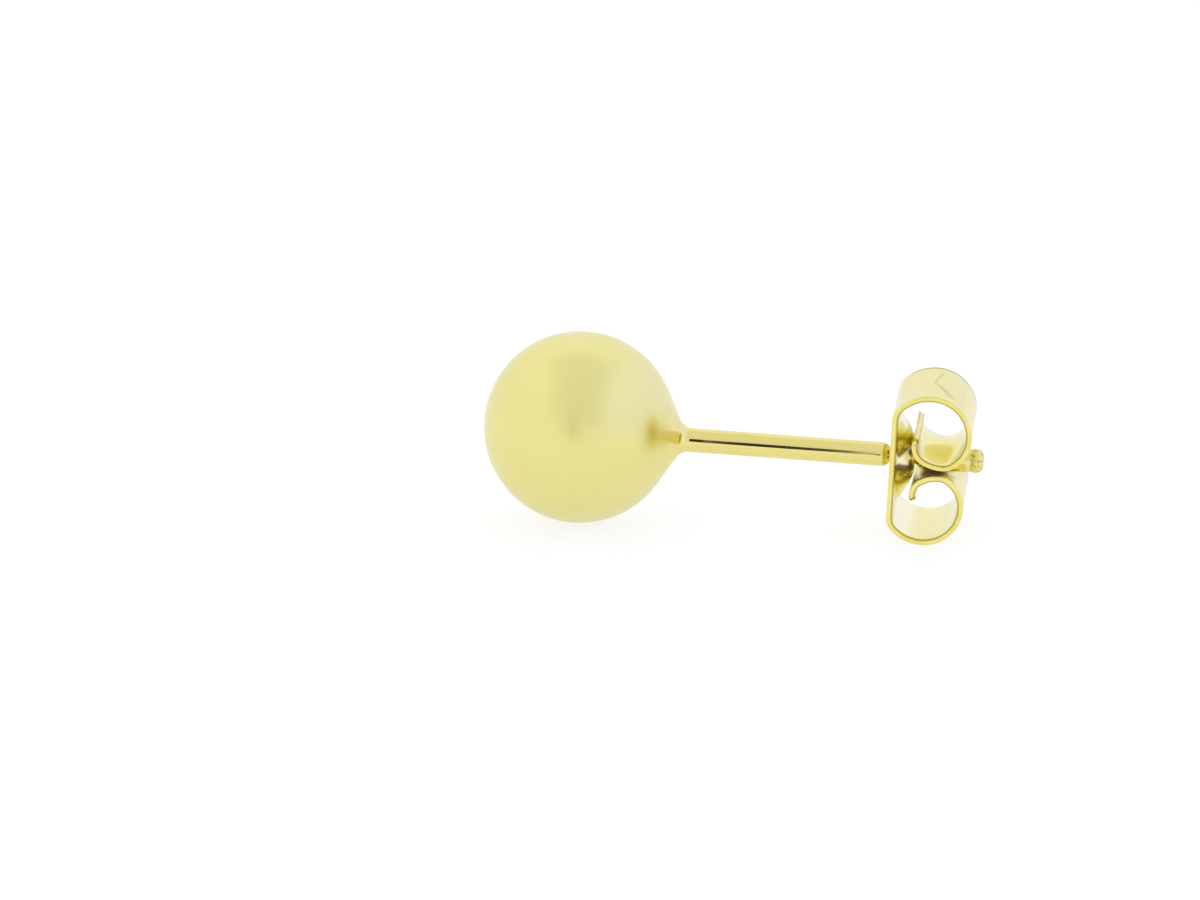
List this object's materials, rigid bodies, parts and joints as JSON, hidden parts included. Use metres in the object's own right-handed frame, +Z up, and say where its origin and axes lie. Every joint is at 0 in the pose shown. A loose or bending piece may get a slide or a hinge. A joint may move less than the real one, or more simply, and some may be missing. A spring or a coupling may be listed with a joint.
{
  "type": "ball stud earring",
  "caption": "Polished yellow-metal ball soldered to a straight round post, with a rolled sheet butterfly clutch that slides on the post and grips it.",
  "frame": {"origin": "middle of the footprint of the earring's bounding box, on the surface that it lies on", "axes": "+X along the post from the ball towards the free end, seen from above; +Z up"},
  "size_m": [0.0156, 0.006, 0.006],
  "materials": {
    "polished_gold": "polished yellow gold"
  },
  "bodies": {
    "stud": {"ball_and_post": "polished_gold"},
    "clutch": {"butterfly_clutch": "polished_gold"}
  },
  "joints": [
    {"name": "clutch_slide", "type": "slide", "parent": "stud", "child": "clutch", "axis": [0.9989, 0, -0.0478], "range_m": [-0.0066, 0.003]}
  ]
}
